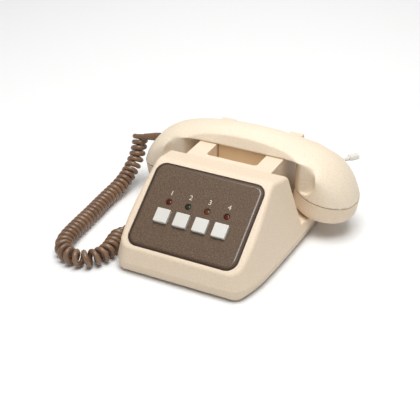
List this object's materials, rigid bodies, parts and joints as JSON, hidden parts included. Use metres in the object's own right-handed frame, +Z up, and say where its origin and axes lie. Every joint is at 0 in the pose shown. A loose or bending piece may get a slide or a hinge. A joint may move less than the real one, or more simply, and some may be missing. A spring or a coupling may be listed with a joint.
{
  "type": "telephone",
  "caption": "Desk telephone with a sloping brown panel of square push-buttons and signal lamps, a handset across a cradle and a curly cord.",
  "frame": {"origin": "on the table under the middle of the casing and handset", "axes": "+X to the right along the handset, +Y to the rear, +Z up; the button panel faces -Y"},
  "size_m": [0.2531, 0.3297, 0.0885],
  "materials": {
    "cream": "satin moulded plastic, fine grain",
    "cream_tray": "satin moulded plastic, fine grain",
    "brown_panel": "fine leather-like grain with a polished bevel",
    "button_white": "smooth semi-gloss",
    "lamp_red": "unlit translucent lens",
    "lamp_green": "unlit translucent lens",
    "lamp_amber": "unlit translucent lens",
    "rubber": "matt",
    "steel": "plain zinc",
    "dark_plastic": "plain moulded",
    "tan_plastic": "satin moulded plastic",
    "board": "lacquered laminate",
    "metal": "pressed can",
    "cord_brown": "smooth soft plastic",
    "cord_pale": "smooth soft plastic",
    "tie": "flat band",
    "plug": "smooth"
  },
  "bodies": {
    "base": {"upper_casing": "cream", "base_tray": "cream_tray", "rubber_feet": "rubber", "base_screws": "steel", "front_panel": "brown_panel", "switch_frame": "dark_plastic", "lamp_board": "board", "hook_switch": "dark_plastic", "main_board": "board", "call_sounder": "dark_plastic", "terminal_block": "dark_plastic", "line_cord_bush": "cord_pale", "casing_cord_bush": "cord_brown", "curly_cord": "cord_brown", "line_cord": "cord_pale", "line_coil": "cord_pale", "coil_tie": "tie", "line_tail": "cord_pale", "line_plug": "plug", "lamp_lens_1": "lamp_red", "lamp_lens_2": "lamp_green", "lamp_lens_3": "lamp_amber", "lamp_lens_4": "lamp_red"},
    "handset": {"handset_shell": "cream", "earpiece_cap": "cream", "mouthpiece_cap": "cream", "receiver_capsule": "metal", "transmitter_capsule": "metal", "handset_cord_bush": "cord_brown"},
    "hook": {"hook_bar": "tan_plastic"},
    "button_1": {"button_cap_1": "button_white"},
    "button_2": {"button_cap_2": "button_white"},
    "button_3": {"button_cap_3": "button_white"},
    "button_4": {"button_cap_4": "button_white"}
  },
  "joints": [
    {"name": "handset_lift", "type": "slide", "parent": "base", "child": "handset", "axis": [0, 0, 1], "range_m": [0, 0.12], "deforming": ["curly_cord"]},
    {"name": "hook_rise", "type": "slide", "parent": "base", "child": "hook", "axis": [0, 0, 1], "range_m": [0, 0.006]},
    {"name": "button_1_press", "type": "slide", "parent": "base", "child": "button_1", "axis": [0, 0.5948, -0.8039], "range_m": [0, 0.003], "stiffness_N_per_m": 300},
    {"name": "button_2_press", "type": "slide", "parent": "base", "child": "button_2", "axis": [0, 0.5948, -0.8039], "range_m": [0, 0.003], "stiffness_N_per_m": 300},
    {"name": "button_3_press", "type": "slide", "parent": "base", "child": "button_3", "axis": [0, 0.5948, -0.8039], "range_m": [0, 0.003], "stiffness_N_per_m": 300},
    {"name": "button_4_press", "type": "slide", "parent": "base", "child": "button_4", "axis": [0, 0.5948, -0.8039], "range_m": [0, 0.003], "stiffness_N_per_m": 300}
  ],
  "couplings": [
    {"joint": "hook_rise", "follows": "handset_lift", "ratio": 0.05}
  ]
}
